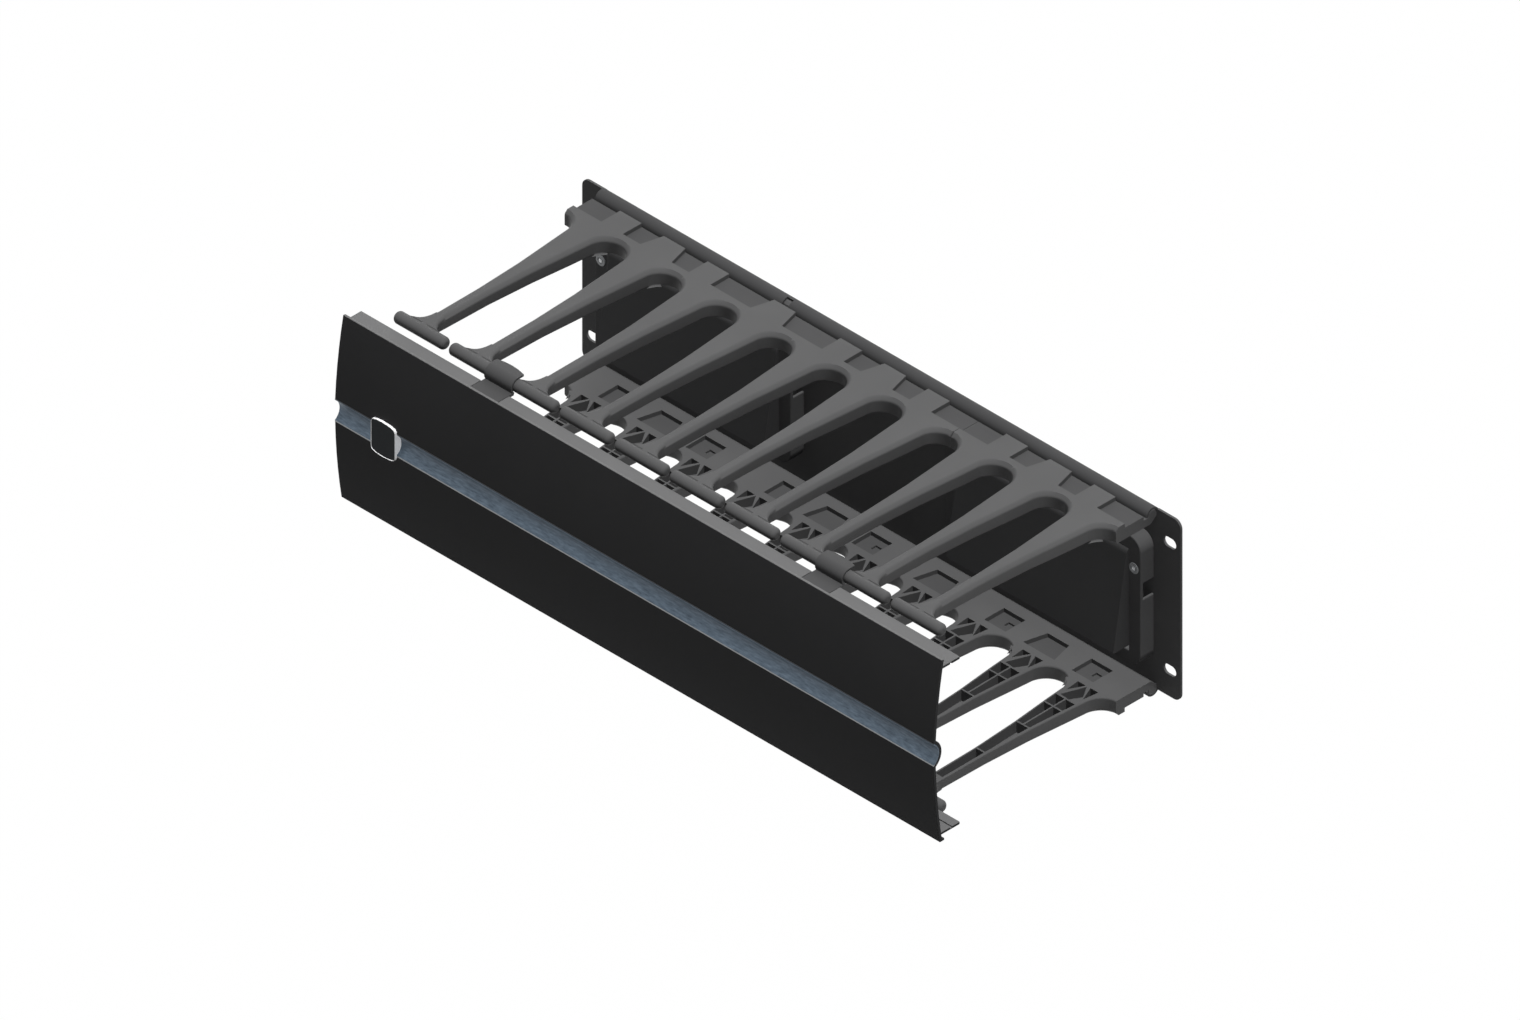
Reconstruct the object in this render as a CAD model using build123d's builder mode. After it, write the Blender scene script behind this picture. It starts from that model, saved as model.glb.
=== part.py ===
from build123d import *
import os
from math import cos, radians, sin, sqrt

# Horizontal cable manager, three rack units high. Millimetres.
# Origin: centre of the rack slot pattern, on the rear face of the mounting ears.
# +X runs along the manager, +Z is up, and the cover faces -Y.

os.makedirs("parts", exist_ok=True)

# Rack standard
panel_width = 482.6
slot_edge = 8.75
unit = 44.45
slot_rows = 2
slot_length = 10.0
slot_width = 6.8

# Rear panel, folded from sheet
sheet = 1.6
ear_height = 126.0
ear_corner = 5.5
ear_width = 18.9
rail_radius = 5.2
rail_axis_z = 60.6
rail_notch_width = 5.0
rail_notch_x = -69.5
rail_segments = 10

# Cable finger guides
short_fingers = 3
guide_outer = 65.6
guide_inner = 54.9
guide_end_gap = 0.15
floor_thickness = 7.9
recess_rear = 12.4
recess_front = 27.6
bead_clearance = 0.3
hook_slope_drop = 1.5
hook_neck_back = 1.0
bead_sides = 10
rail_gap = 0.4
inner_rear = 6.8
slot_root = 34.4
slot_radius = 12.4
slot_sides = 14
taper_reach = 88.0
taper_half_width = 6.2
stem_reach = 122.0
stem_half_width = 4.6
tip_half_width = 4.1
edge_round = 2.2
bar_reach = 171.9
bar_radius = 4.0
bar_length = 40.6
bar_sides = 10
bar_blend = 5.5
bar_blend_stop = 2.0
bar_web_half_height = 2.9
bar_web = 5.2
skin = 2.4
rib_wall = 1.5
rib_half = 0.55
tip_rise = 2.6
taper_start = 60.0

# Raised tabs and pockets between the fingers and the rail
tab_step = 35.3
tab_half_width = 8.7
wide_tab_rear = 8.6
wide_tab_front = 12.7
window_rear = 14.5
window_front = 30.5
window_depth = 2.9
window_half_width = 8.6

# Pass-through frames and doors
frame_end_margin = 21.3
frame_side_border = 10.0
frame_top_border = 9.9
frame_bottom_border = 8.5
frame_corner = 9.0
frame_depth = 11.0
frame_wall = 2.0
pass_opening_width = 138.0
pass_opening_top = 34.6
pass_opening_bottom = 36.0
frame_inner_corner = 5.0
panel_opening_lap = 2.5
side_notch_low = 3.0
side_notch_high = 14.0
side_notch_depth = 8.5
lug_thickness = 2.4
lug_size = 8.4
door_side_gap = 1.4
door_wall = 2.0
door_roll = 4.5
roll_segments = 4
door_axis_drop = 5.1
door_bottom_gap = 1.4
door_flare = 10.5
cheek_rear = 5.0
cheek_drop = 16.0
cheek_low_rear = 9.6
door_pin_radius = 1.5
pin_overhang = 0.5
press_clearance = 0.02
pin_clearance = 0.06
bore_sides = 12

# Eyelets that hold the frames to the panel
eyelet_inset = 5.1
eyelet_z = 23.5
eyelet_flange_radius = 3.6
eyelet_flange = 0.8
eyelet_radius = 2.8
eyelet_bore = 1.8
eyelet_sides = 10
eyelet_boss = 4.4

# Front cover
cover_skin = 2.0
cover_top_step = 2.5
cover_bottom_step = 2.2
cover_low_step = 1.4
cover_bow_rise = 6.6
groove_half = 8.0
groove_depth = 4.6
cover_bow = 1.0
flange_drop = 4.5
flange_thickness = 1.9
flange_gap = 3.7
flange_length = 14.6
return_reach = 3.6
return_thickness = 1.5
flange_groove = 1.3
flange_groove_depth = 0.8
flange_groove_place = 7.0
strip_thickness = 0.8
strip_gap = 0.05

# Badge on the accent strip
badge_inset = 40.3
badge_width = 19.6
badge_height = 21.0
badge_crown = 1.6
crown_segments = 4
badge_rim_width = 1.3
badge_fit = 0.05
badge_stand = 3.0
badge_face_drop = 0.8

# Hinge clips
clip_units_from_end = 2
clip_width = 22.0
clip_wall = 1.5
clip_gap = 0.35
clip_side_gap = 0.3
clip_foot_length = 10.0
clip_tongue_length = 4.7
clip_tongue_crown = 1.6
clip_jaw_angle = 50.0
clip_bearing_angle = 60.0
jaw_segments = 8
jaw_inner_segments = 5

# Places worked out from the sizes above
slot_span = panel_width - 2 * slot_edge
hole_rows = slot_rows * unit
rail_half_length = panel_width / 2 - ear_width
finger_count = int(2 * rail_half_length / unit)
long_fingers = finger_count - short_fingers
guide_half_length = finger_count * unit / 2
seam_x = guide_half_length - short_fingers * unit
root_reach = slot_root + slot_radius
root_half_width = unit / 2 - slot_radius
bar_z = guide_outer - bar_radius
frame_width = pass_opening_width + 2 * frame_side_border
frame_top = pass_opening_top + frame_top_border
frame_bottom = -pass_opening_bottom - frame_bottom_border
frame_height = frame_top - frame_bottom
frame_z = (frame_top + frame_bottom) / 2
frame_front = sheet + frame_depth
pass_x = panel_width / 2 - frame_end_margin - frame_width / 2
eyelet_x = pass_x + frame_width / 2 - eyelet_inset
bead_radius = rail_radius - sheet - bead_clearance
rail_axis_reach = rail_radius
door_half_width = pass_opening_width / 2 - door_side_gap
door_axis_reach = frame_front - door_roll
door_axis_z = pass_opening_top - door_axis_drop
door_bottom = pass_opening_bottom - door_bottom_gap
pin_half_length = pass_opening_width / 2 + lug_thickness + pin_overhang
cover_top = guide_outer - cover_top_step
cover_bottom = guide_outer - cover_bottom_step
flange_top_z = cover_top - flange_drop
flange_centre = flange_top_z - flange_thickness / 2
flange_reach = bar_reach + bar_radius + flange_gap
cover_lip_reach = flange_reach + flange_length
cover_low_reach = cover_lip_reach + cover_low_step
cover_bow_reach = cover_lip_reach + cover_bow_rise
flange_groove_reach = flange_reach + flange_groove_place
clip_x = guide_half_length - clip_units_from_end * unit
clip_foot_reach = flange_reach + clip_foot_length
clip_tongue_reach = bar_reach - clip_tongue_length
badge_x = badge_inset - panel_width / 2
notch_width = clip_width + 2 * clip_side_gap
groove_radius = (groove_half**2 + groove_depth**2) / (2 * groove_depth)
groove_centre_reach = cover_bow_reach - groove_depth + groove_radius


def finger_centres(first, count):
    """X of each finger, counted from the left end."""
    start = -guide_half_length + unit / 2
    return [start + unit * (first + i) for i in range(count)]


def finger_half_width(reach):
    """Half the width of a finger at a distance in front of the mounting face."""
    stations = [
        (root_reach, root_half_width),
        (taper_reach, taper_half_width),
        (stem_reach, stem_half_width),
        (bar_reach, tip_half_width),
    ]
    for (near, near_width), (far, far_width) in zip(stations, stations[1:]):
        if reach <= far:
            share = (reach - near) / (far - near)
            return near_width + share * (far_width - near_width)
    return tip_half_width


def arc_points(centre, radius, start, sweep, segments):
    """Points along an arc that is drawn as short straight runs."""
    angles = [radians(start + sweep * i / segments) for i in range(segments + 1)]
    return [(centre[0] + radius * cos(a), centre[1] + radius * sin(a)) for a in angles]


def crown_points(left, right, base, rise, segments):
    """Points along a shallow crown between two ends."""
    shares = [i / segments for i in range(segments + 1)]
    return [(left + s * (right - left), base + 4 * rise * s * (1 - s)) for s in shares]


def write_piece(part, name):
    part.label = name
    export_step(part, f"parts/{name}.step")


# Rear panel: flat sheet with ears, both long edges curled forward into rails
def rail_section():
    """Curl along the sheet's top edge, drawn in the YZ plane."""
    axis = (-rail_axis_reach, rail_axis_z)
    outside = arc_points(axis, rail_radius, 0, 180, rail_segments)
    inside = arc_points(axis, rail_radius - sheet, 180, -180, rail_segments)
    with BuildSketch(Plane.YZ.offset(-rail_half_length)) as section:
        with BuildLine():
            Polyline(*outside, *inside, close=True)
        make_face()
    return section.sketch


with BuildPart() as rear_panel:
    with BuildSketch(Plane.XZ):
        Rectangle(2 * rail_half_length, 2 * rail_axis_z)
        for side in (-1, 1):
            ear = panel_width / 2 - rail_half_length
            with Locations((side * (rail_half_length + ear / 2), 0)):
                Rectangle(ear, ear_height)
    extrude(amount=sheet)
    ear_edges = rear_panel.edges().filter_by(Axis.Y)
    outer_edges = ear_edges.group_by(Axis.X)
    fillet(outer_edges[0] + outer_edges[-1], ear_corner)
    extrude(rail_section(), amount=2 * rail_half_length)
    with BuildSketch(Plane.XZ.offset(rail_axis_reach)):
        with Locations((rail_notch_x, rail_axis_z + rail_radius / 2)):
            Rectangle(rail_notch_width, rail_radius)
    extrude(amount=rail_radius, mode=Mode.SUBTRACT)
    mirror(about=Plane.XY)
    with BuildSketch(Plane.XZ):
        with GridLocations(slot_span, hole_rows, 2, 2):
            SlotOverall(slot_length, slot_width)
        with Locations((-pass_x, frame_z), (pass_x, frame_z)):
            Rectangle(pass_opening_width, frame_height - 2 * panel_opening_lap)
        with Locations((-eyelet_x, eyelet_z), (eyelet_x, eyelet_z)):
            RegularPolygon(eyelet_radius + press_clearance, eyelet_sides)
    extrude(amount=sheet, mode=Mode.SUBTRACT)
write_piece(rear_panel.part, "rear_panel")


# Finger guides: one moulding with a plate, tapered fingers and T-bars
def guide_plan(centres, left, right):
    """Outline of the plate and fingers seen from above."""
    with BuildSketch(Plane.XY.offset(guide_inner)) as plan:
        with BuildLine():
            Polyline(
                (left, -inner_rear), (right, -inner_rear),
                (right, -root_reach), (left, -root_reach), close=True,
            )
        make_face()
        ends = [centres[0] - unit / 2 + i * unit for i in range(len(centres) + 1)]
        with Locations(*[(x, -root_reach) for x in ends]):
            RegularPolygon(slot_radius, slot_sides, mode=Mode.SUBTRACT)
        for x in centres:
            with BuildLine():
                reaches = [root_reach, taper_reach, stem_reach, bar_reach]
                right_side = [(x + finger_half_width(r), -r) for r in reaches]
                left_side = [(x - finger_half_width(r), -r) for r in reversed(reaches)]
                Polyline(*right_side, *left_side, close=True)
            make_face()
    return plan.sketch


def bar_webs(centres):
    """Flared webs that carry each T-bar on its stem, seen from above."""
    flare_start = bar_reach - bar_radius - bar_blend
    flare_end = bar_reach - bar_blend_stop
    with BuildSketch(Plane.XY.offset(bar_z)) as webs:
        for x in centres:
            with BuildLine():
                Polyline(
                    (x - tip_half_width, -flare_start), (x + tip_half_width, -flare_start),
                    (x + tip_half_width + bar_blend, -flare_end),
                    (x + tip_half_width + bar_blend, -bar_reach),
                    (x - tip_half_width - bar_blend, -bar_reach),
                    (x - tip_half_width - bar_blend, -flare_end),
                    close=True,
                )
            make_face()
    return webs.sketch


def rear_hook():
    """Section of the plate's rear edge and of the bead that sits inside the rail."""
    neck_top = rail_axis_z - rail_gap
    with BuildSketch(Plane.YZ) as hook:
        with BuildLine():
            Polyline(
                (-recess_rear, guide_inner),
                (-inner_rear, guide_inner),
                (-rail_axis_reach + bead_radius, rail_axis_z - hook_slope_drop),
                (-rail_axis_reach, rail_axis_z),
                (-rail_axis_reach - hook_neck_back, neck_top),
                (-recess_rear, neck_top),
                close=True,
            )
        make_face()
        with Locations((-rail_axis_reach, rail_axis_z)):
            RegularPolygon(bead_radius, bead_sides)
    return hook.sketch


def finger_cells(x):
    """Pockets under one finger: a truss at the root, two columns, then one channel."""
    left_truss = [(-7.4, 35.8), (-1.1, 35.8), (-6.4, 46.1)]
    middle_truss = [(0.1, 36.4), (5.9, 45.0), (1.7, 52.3), (-5.6, 51.8)]
    right_truss = [(2.5, 35.6), (8.8, 35.6), (7.4, 46.6)]
    cells = [left_truss, middle_truss, right_truss]
    cross_ribs = [52.9, 63.2, 87.6, 121.8, 155.8]
    for number, (near, far) in enumerate(zip(cross_ribs, cross_ribs[1:])):
        near, far = near + rib_half, far - rib_half
        near_x = finger_half_width(near) - rib_wall
        far_x = finger_half_width(far) - rib_wall
        if number < 2:
            cells.append([(-near_x, near), (-rib_half, near), (-rib_half, far), (-far_x, far)])
            cells.append([(rib_half, near), (near_x, near), (far_x, far), (rib_half, far)])
        else:
            cells.append([(-near_x, near), (near_x, near), (far_x, far), (-far_x, far)])
    return [[(x + cell_x, -reach) for cell_x, reach in cell] for cell in cells]


def tab_places(centres):
    """X of the wide tabs, and of the square tabs that stand beside the outer ones."""
    middle = (centres[0] + centres[-1]) / 2
    wide = [x for x in centres if round((x - middle) / unit) % 2 == 0]
    square = []
    for x in wide:
        if len(wide) == 1 or abs(x - middle) > 1:
            square += [x - tab_step, x + tab_step]
    return wide, square


def wide_tab(rear, front):
    """Trapezoid that widens towards the fingers, centred on X = 0."""
    return [
        (-wide_tab_rear, -rear), (wide_tab_rear, -rear),
        (wide_tab_front, -front), (-wide_tab_front, -front),
    ]


def shifted(points, x):
    return [(x + point_x, point_y) for point_x, point_y in points]


def make_guide(first, count, left, right):
    """Guide for the top edge: plate behind, fingers to the front, pockets below."""
    centres = finger_centres(first, count)
    wide, square = tab_places(centres)
    height = guide_outer - guide_inner
    with BuildPart() as guide:
        extrude(guide_plan(centres, left, right), amount=height)
        # recess along the rail, with raised tabs left standing in it
        with BuildSketch(Plane.XY.offset(guide_outer)):
            with BuildLine():
                Polyline(
                    (left, 0), (right, 0), (right, -recess_front), (left, -recess_front), close=True
                )
            make_face()
            for x in wide:
                with BuildLine():
                    Polyline(*shifted(wide_tab(recess_rear, recess_front), x), close=True)
                make_face(mode=Mode.SUBTRACT)
            with Locations(*[(x, -(recess_rear + recess_front) / 2) for x in square]):
                Rectangle(2 * tab_half_width, recess_front - recess_rear, mode=Mode.SUBTRACT)
        extrude(amount=floor_thickness - height, mode=Mode.SUBTRACT)
        # clear the strip behind the recess, then add the hook that the rail holds
        with BuildSketch(Plane.XY.offset(guide_inner)):
            with BuildLine():
                Polyline((left, 0), (right, 0), (right, -recess_rear), (left, -recess_rear), close=True)
            make_face()
        extrude(amount=height, mode=Mode.SUBTRACT)
        finger_edges = guide.edges().filter_by(
            lambda edge: -bar_reach + 0.5 < edge.center().Y < -slot_root + 0.5
            and abs(edge.bounding_box().size.Z) < 0.01
        )
        rounded = finger_edges.group_by(Axis.Z)[-1]
        chamfer(rounded, edge_round)
        extrude(rear_hook().moved(Location((left, 0, 0))), amount=right - left)
        # underside: the fingers get thinner towards the tip
        with BuildSketch(Plane.YZ.offset(left)):
            with BuildLine():
                Polyline(
                    (-taper_start, guide_inner),
                    (-bar_reach - bar_radius, guide_inner + tip_rise),
                    (-bar_reach - bar_radius, guide_inner),
                    close=True,
                )
            make_face()
        extrude(amount=right - left, mode=Mode.SUBTRACT)
        # pockets under the tabs and under the fingers
        with BuildSketch(Plane.XY.offset(guide_inner)):
            for x in wide:
                with BuildLine():
                    Polyline(*shifted(wide_tab(window_rear, window_front), x), close=True)
                make_face()
            with Locations(*[(x, -(window_rear + window_front) / 2) for x in square]):
                Rectangle(2 * window_half_width, window_front - window_rear)
        extrude(amount=window_depth, mode=Mode.SUBTRACT)
        with BuildSketch(Plane.XY.offset(guide_inner)):
            for x in centres:
                for cell in finger_cells(x):
                    with BuildLine():
                        Polyline(*cell, close=True)
                    make_face()
        extrude(amount=height - skin, mode=Mode.SUBTRACT)
        # T-bars across the fingertips, on flared webs
        extrude(bar_webs(centres), amount=bar_web_half_height, both=True)
        for x in centres:
            with BuildSketch(Plane.YZ.offset(x - bar_length / 2)):
                with Locations((-bar_reach, bar_z)):
                    RegularPolygon(bar_radius, bar_sides, rotation=180 / bar_sides)
            extrude(amount=bar_length)
    return guide.part


long_end, short_start = seam_x - guide_end_gap, seam_x + guide_end_gap
top_guides = {
    "top_guide_long": make_guide(0, long_fingers, -guide_half_length, long_end),
    "top_guide_short": make_guide(long_fingers, short_fingers, short_start, guide_half_length),
}
for name, top_guide in top_guides.items():
    write_piece(top_guide, name)
    with BuildPart() as bottom_guide:
        mirror(top_guide, about=Plane.XY)
    write_piece(bottom_guide.part, name.replace("top", "bottom"))


# Pass-through frames: shallow moulded boxes, open behind, with lugs for the door pin
def make_pass_frame(side):
    centre = side * pass_x
    opening_height = pass_opening_top + pass_opening_bottom
    opening_z = (pass_opening_top - pass_opening_bottom) / 2
    with BuildPart() as frame:
        with BuildSketch(Plane.XZ.offset(sheet)):
            with Locations((centre, frame_z)):
                RectangleRounded(frame_width, frame_height, frame_corner)
        extrude(amount=frame_depth)
        with BuildSketch(Plane.XZ.offset(sheet)):
            with Locations((centre, frame_z)):
                inside = Rectangle(frame_width - 2 * frame_wall, frame_height - 2 * frame_wall)
            chamfer(inside.vertices(), frame_inner_corner)
        extrude(amount=frame_depth - frame_wall, mode=Mode.SUBTRACT)
        with BuildSketch(Plane.XZ.offset(sheet)):
            with Locations((side * eyelet_x, eyelet_z)):
                RegularPolygon(eyelet_boss, eyelet_sides)
        extrude(amount=frame_depth - frame_wall)
        # lugs beside the opening, bored for the door pin
        lug_front = frame_front - frame_wall
        for end in (-1, 1):
            lug_x = centre + end * (pass_opening_width + lug_thickness) / 2
            with BuildSketch(Plane.YZ.offset(lug_x)):
                with Locations((lug_size / 2 - lug_front, door_axis_z)):
                    Rectangle(lug_size, lug_size)
                with Locations((-door_axis_reach, door_axis_z)):
                    RegularPolygon(
                        door_pin_radius + press_clearance,
                        bore_sides,
                        major_radius=False,
                        mode=Mode.SUBTRACT,
                    )
            extrude(amount=lug_thickness / 2, both=True)
        with BuildSketch(Plane.XZ.offset(sheet)):
            with Locations((centre, opening_z)):
                Rectangle(pass_opening_width, opening_height)
            with Locations((side * eyelet_x, eyelet_z)):
                RegularPolygon(eyelet_radius + press_clearance, eyelet_sides)
        extrude(amount=frame_depth, mode=Mode.SUBTRACT)
        # notch in both end walls, open towards the panel
        with BuildSketch(Plane.YZ.offset(centre)):
            with Locations((-sheet - side_notch_depth / 2, (side_notch_low + side_notch_high) / 2)):
                Rectangle(side_notch_depth, side_notch_high - side_notch_low)
        extrude(amount=frame_width / 2 + 1, both=True, mode=Mode.SUBTRACT)
    return frame.part


# Doors: a sloping front that rolls over the pin, with a cheek at each end
def make_door(side):
    centre = side * pass_x
    toe_reach = frame_front + door_flare
    axis = (-door_axis_reach, door_axis_z)
    roll_outside = arc_points(axis, door_roll, 90, 90, roll_segments)
    roll_inside = arc_points(axis, door_roll - door_wall, 180, -90, roll_segments)
    with BuildPart() as door:
        with BuildSketch(Plane.YZ.offset(centre)):
            with BuildLine():
                Polyline(
                    (-frame_front, door_axis_z), (-toe_reach, -door_bottom),
                    (-toe_reach + door_wall, -door_bottom), (-frame_front + door_wall, door_axis_z),
                    close=True,
                )
            make_face()
            with BuildLine():
                Polyline(*roll_outside, *roll_inside, close=True)
            make_face()
        extrude(amount=door_half_width, both=True)
        for end in (-1, 1):
            with BuildSketch(Plane.YZ.offset(centre + end * (door_half_width - door_wall / 2))):
                with BuildLine():
                    Polyline(
                        (-frame_front, door_axis_z), (-toe_reach, -door_bottom),
                        (-cheek_low_rear, -door_bottom), (-cheek_low_rear, -cheek_drop),
                        (-cheek_rear, -cheek_drop), (-cheek_rear, door_axis_z),
                        close=True,
                    )
                make_face()
                with Locations(axis):
                    RegularPolygon(door_roll, 4 * roll_segments)
                    RegularPolygon(
                        door_pin_radius + pin_clearance,
                        bore_sides,
                        major_radius=False,
                        mode=Mode.SUBTRACT,
                    )
            extrude(amount=door_wall / 2, both=True)
    return door.part


def make_door_pin(side):
    with BuildPart() as pin:
        with BuildSketch(Plane.YZ.offset(side * pass_x)):
            with Locations((-door_axis_reach, door_axis_z)):
                Circle(door_pin_radius)
        extrude(amount=pin_half_length, both=True)
    return pin.part


# Eyelets: flanged tubes that clamp each frame to the panel
def make_eyelet(side):
    with BuildPart() as eyelet:
        with BuildSketch(Plane.XZ):
            with Locations((side * eyelet_x, eyelet_z)):
                RegularPolygon(eyelet_radius, eyelet_sides)
        extrude(amount=frame_front)
        with BuildSketch(Plane.XZ.offset(frame_front)):
            with Locations((side * eyelet_x, eyelet_z)):
                RegularPolygon(eyelet_flange_radius, eyelet_sides)
        extrude(amount=eyelet_flange)
        with BuildSketch(Plane.XZ):
            with Locations((side * eyelet_x, eyelet_z)):
                RegularPolygon(eyelet_bore, eyelet_sides)
        extrude(amount=frame_front + eyelet_flange, mode=Mode.SUBTRACT)
    return eyelet.part


for side, word in ((-1, "left"), (1, "right")):
    write_piece(make_pass_frame(side), f"pass_frame_{word}")
    write_piece(make_door(side), f"pass_door_{word}")
    write_piece(make_door_pin(side), f"door_pin_{word}")
    write_piece(make_eyelet(side), f"frame_eyelet_{word}")


# Front cover: one extruded section, bowed above and below a centre groove
with BuildPart() as cover:
    with BuildSketch(Plane.YZ.offset(-panel_width / 2)):
        with BuildLine() as front_line:
            ThreePointArc(
                (-cover_lip_reach, cover_top),
                (-(cover_lip_reach + cover_bow_reach) / 2 - cover_bow, (cover_top + groove_half) / 2),
                (-cover_bow_reach, groove_half),
            )
            ThreePointArc(
                (-cover_bow_reach, groove_half),
                (-cover_bow_reach + groove_depth, 0),
                (-cover_bow_reach, -groove_half),
            )
            ThreePointArc(
                (-cover_bow_reach, -groove_half),
                (-(cover_low_reach + cover_bow_reach) / 2 - cover_bow, -(cover_bottom + groove_half) / 2),
                (-cover_low_reach, -cover_bottom),
            )
            offset(amount=cover_skin, side=Side.LEFT, closed=True)
        make_face()
        flanges = ((flange_centre, cover_lip_reach), (-flange_centre, cover_low_reach))
        for flange_z, skin_reach in flanges:
            with Locations((-(flange_reach + skin_reach) / 2, flange_z)):
                Rectangle(skin_reach - flange_reach, flange_thickness)
        with Locations((-cover_low_reach + return_reach / 2, -cover_bottom + return_thickness / 2)):
            Rectangle(return_reach, return_thickness)
        for end in (-1, 1):
            with Locations((-flange_groove_reach, end * (flange_top_z - flange_thickness))):
                Rectangle(flange_groove, 2 * flange_groove_depth, mode=Mode.SUBTRACT)
    extrude(amount=panel_width)
    notch_length = clip_foot_reach - flange_reach + 1
    for end in (-1, 1):
        with BuildSketch(Plane.XY.offset(end * flange_centre)):
            with Locations(*[(x, -clip_foot_reach + notch_length / 2) for x in (-clip_x, clip_x)]):
                Rectangle(notch_width, notch_length)
        extrude(amount=flange_thickness / 2, both=True, mode=Mode.SUBTRACT)
write_piece(cover.part, "cover")

# Accent strip lining the groove
with BuildPart() as accent_strip:
    with BuildSketch(Plane.YZ.offset(-panel_width / 2)):
        with Locations((-groove_centre_reach, 0)):
            Circle(groove_radius - strip_gap)
            Circle(groove_radius - strip_gap - strip_thickness, mode=Mode.SUBTRACT)
        with Locations((-cover_bow_reach + groove_radius, 0)):
            Rectangle(2 * groove_radius, 2 * groove_radius, mode=Mode.INTERSECT)
    extrude(amount=panel_width)
write_piece(accent_strip.part, "accent_strip")


# Badge: a raised metal rim with crowned ends around a plain face
def badge_outline(inset):
    half_width = badge_width / 2 - inset
    half_height = badge_height / 2 - inset
    left, right = badge_x - half_width, badge_x + half_width
    crown = crown_points(left, right, half_height, badge_crown, crown_segments)
    foot = crown_points(right, left, -half_height, -badge_crown, crown_segments)
    with BuildSketch(Plane.XZ.offset(cover_bow_reach)) as outline:
        with BuildLine():
            Polyline(*crown, *foot, close=True)
        make_face()
    return outline.sketch


with BuildPart() as badge_rim:
    extrude(badge_outline(0), amount=badge_stand)
    extrude(badge_outline(badge_rim_width), amount=badge_stand, mode=Mode.SUBTRACT)
write_piece(badge_rim.part, "badge_rim")

with BuildPart() as badge_face:
    extrude(badge_outline(badge_rim_width + badge_fit), amount=badge_stand - badge_face_drop)
write_piece(badge_face.part, "badge_face")


# Hinge clips: a foot in the flange notch and a jaw that wraps the T-bars
def make_clip(x):
    axis = (-bar_reach, bar_z)
    inner = bar_radius + clip_gap
    outer = inner + clip_wall
    jaw_sweep = 90 + clip_jaw_angle
    short_sweep = jaw_sweep - clip_bearing_angle
    jaw_start = (-bar_reach, bar_z + inner)
    jaw_outside = arc_points(axis, outer, 90, jaw_sweep, jaw_segments)
    jaw_inside = arc_points(axis, inner, 90 + jaw_sweep, -short_sweep, jaw_inner_segments)
    foot_start = bar_reach + sqrt(inner**2 - (bar_z - flange_top_z) ** 2) + clip_gap / 2
    foot_length = clip_foot_reach - foot_start
    left, right = x - clip_width / 2, x + clip_width / 2
    with BuildPart() as clip:
        with BuildSketch(Plane.YZ.offset(x)):
            with BuildLine():
                Polyline(jaw_start, *jaw_outside, *jaw_inside)
                CenterArc(axis, inner, 90, clip_bearing_angle)
            make_face()
            with Locations((-bar_reach + clip_tongue_length / 2, bar_z + inner + clip_wall / 2)):
                Rectangle(clip_tongue_length, clip_wall)
            with Locations((-clip_foot_reach + foot_length / 2, flange_centre)):
                Rectangle(foot_length, flange_thickness)
        extrude(amount=clip_width / 2, both=True)
        # the tongue's free edge is crowned
        with BuildSketch(Plane.XY.offset(bar_z + inner)):
            with BuildLine():
                Polyline(
                    *crown_points(left, right, -clip_tongue_reach, clip_tongue_crown, crown_segments),
                    close=True,
                )
            make_face()
        extrude(amount=clip_wall)
    return clip.part


for x, word in ((-clip_x, "left"), (clip_x, "right")):
    top_clip = make_clip(x)
    write_piece(top_clip, f"top_clip_{word}")
    with BuildPart() as bottom_clip:
        mirror(top_clip, about=Plane.XY)
    write_piece(bottom_clip.part, f"bottom_clip_{word}")
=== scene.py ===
import math

import bmesh
import bpy
from mathutils import Matrix, Vector


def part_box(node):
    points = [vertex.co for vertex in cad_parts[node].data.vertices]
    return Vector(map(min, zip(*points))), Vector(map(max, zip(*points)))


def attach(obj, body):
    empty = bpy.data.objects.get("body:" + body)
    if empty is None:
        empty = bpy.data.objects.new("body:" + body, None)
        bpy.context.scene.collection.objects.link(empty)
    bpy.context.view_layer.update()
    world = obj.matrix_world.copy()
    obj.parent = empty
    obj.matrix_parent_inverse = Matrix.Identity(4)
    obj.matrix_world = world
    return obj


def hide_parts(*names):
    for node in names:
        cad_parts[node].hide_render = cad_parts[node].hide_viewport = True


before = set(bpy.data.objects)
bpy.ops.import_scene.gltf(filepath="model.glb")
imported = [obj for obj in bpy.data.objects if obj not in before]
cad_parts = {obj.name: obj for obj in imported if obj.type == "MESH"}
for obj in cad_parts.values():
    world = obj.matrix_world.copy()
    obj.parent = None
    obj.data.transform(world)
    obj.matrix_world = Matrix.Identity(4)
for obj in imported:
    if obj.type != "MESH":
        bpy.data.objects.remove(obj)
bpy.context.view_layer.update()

MM = 0.001

# Points of a CAD mesh nearer than this many metres are one point, and its faces that meet at
# less than this many degrees are one flat face
MERGE_DISTANCE = 0.000002
FLAT_ANGLE = 0.6

# Guides: fingers, slots, recess and pockets, in millimetres
PITCH = 44.45
FINGERS = 10
LONG_FINGERS = 7
END_GAP = 0.15
GUIDE_INNER = 54.9
SLOT_ROOT = 34.4
SLOT_RADIUS = 12.4
SLOT_SIDES = 14
ROOT_REACH = SLOT_ROOT + SLOT_RADIUS
EDGE_CHAMFER = 2.2
CHAMFER_ROUND = 0.8
INNER_ROUND = 1.1
RECESS_FRONT = 27.6
RECESS_Z = 62.8
POCKET_REAR = 14.5
POCKET_Z = 57.8
TAB_STEP = 35.3

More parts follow.
